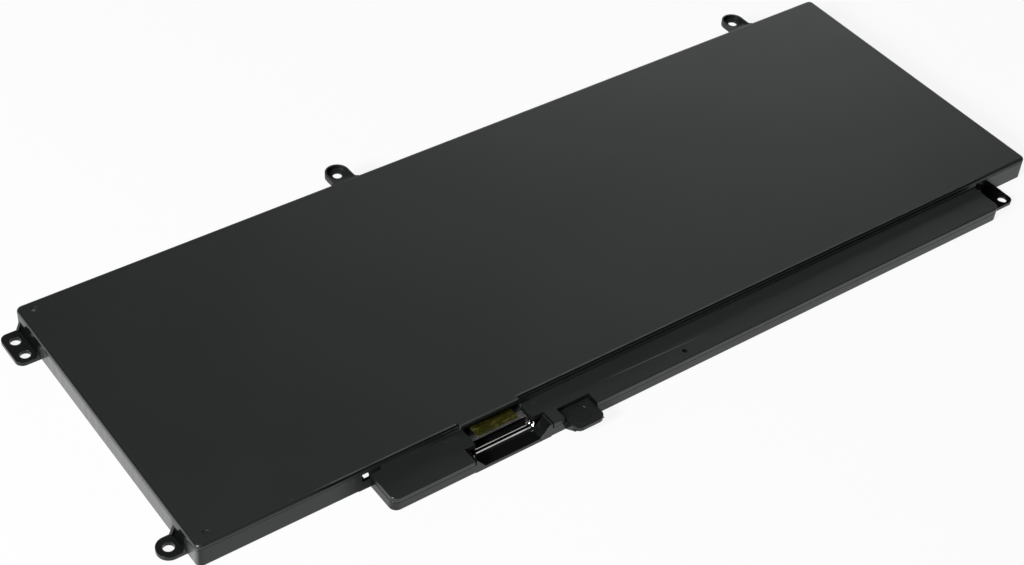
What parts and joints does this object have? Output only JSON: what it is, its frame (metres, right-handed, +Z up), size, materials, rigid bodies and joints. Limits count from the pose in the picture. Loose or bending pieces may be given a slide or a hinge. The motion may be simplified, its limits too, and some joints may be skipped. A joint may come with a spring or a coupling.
{
  "type": "laptop battery",
  "caption": "Flat black internal laptop battery with a stepped front ledge, a shielded socket in the ledge, a thumb tab and screw lugs round the edges.",
  "frame": {"origin": "middle of the flat underside of the main body, not counting the front ledge and the lugs", "axes": "+X along the pack's length to the right, +Y from the ledge to the back with the cup lugs, +Z up from the underside"},
  "size_m": [0.2703, 0.1117, 0.0069],
  "materials": {
    "case_plastic": "fine moulded texture, satin",
    "cover_plastic": "fine moulded texture, satin",
    "shell_metal": "bright nickel plate",
    "insulator_plastic": "moulded",
    "contact_metal": "gold plate",
    "film": "thin yellow-brown film",
    "pouch_foil": "satin laminate",
    "tab_aluminium": "bare",
    "tab_nickel": "bare nickel",
    "adhesive": "double-sided tape",
    "foam": "thin foam",
    "board": "green resist",
    "chip_plastic": "moulded",
    "chip_ceramic": "fired"
  },
  "bodies": {
    "root": {"lower_case": "case_plastic", "upper_cover": "cover_plastic", "connector_shell": "shell_metal", "connector_insulator": "insulator_plastic", "connector_contacts": "contact_metal", "connector_film": "film", "pouch_cell_1": "pouch_foil", "cell_1_positive_tab": "tab_aluminium", "cell_1_negative_tab": "tab_nickel", "cell_1_adhesive_strips": "adhesive", "cell_1_foam_pad": "foam", "pouch_cell_2": "pouch_foil", "cell_2_positive_tab": "tab_aluminium", "cell_2_negative_tab": "tab_nickel", "cell_2_adhesive_strips": "adhesive", "cell_2_foam_pad": "foam", "pouch_cell_3": "pouch_foil", "cell_3_positive_tab": "tab_aluminium", "cell_3_negative_tab": "tab_nickel", "cell_3_adhesive_strips": "adhesive", "cell_3_foam_pad": "foam", "protection_board": "board", "weld_plates": "tab_nickel", "gauge_chip": "chip_plastic", "charge_transistor": "chip_plastic", "discharge_transistor": "chip_plastic", "protector_fuse": "chip_ceramic", "sense_resistor": "chip_ceramic", "thermistor": "chip_ceramic", "chip_capacitors": "chip_ceramic", "chip_resistors": "chip_plastic"}
  },
  "joints": []
}
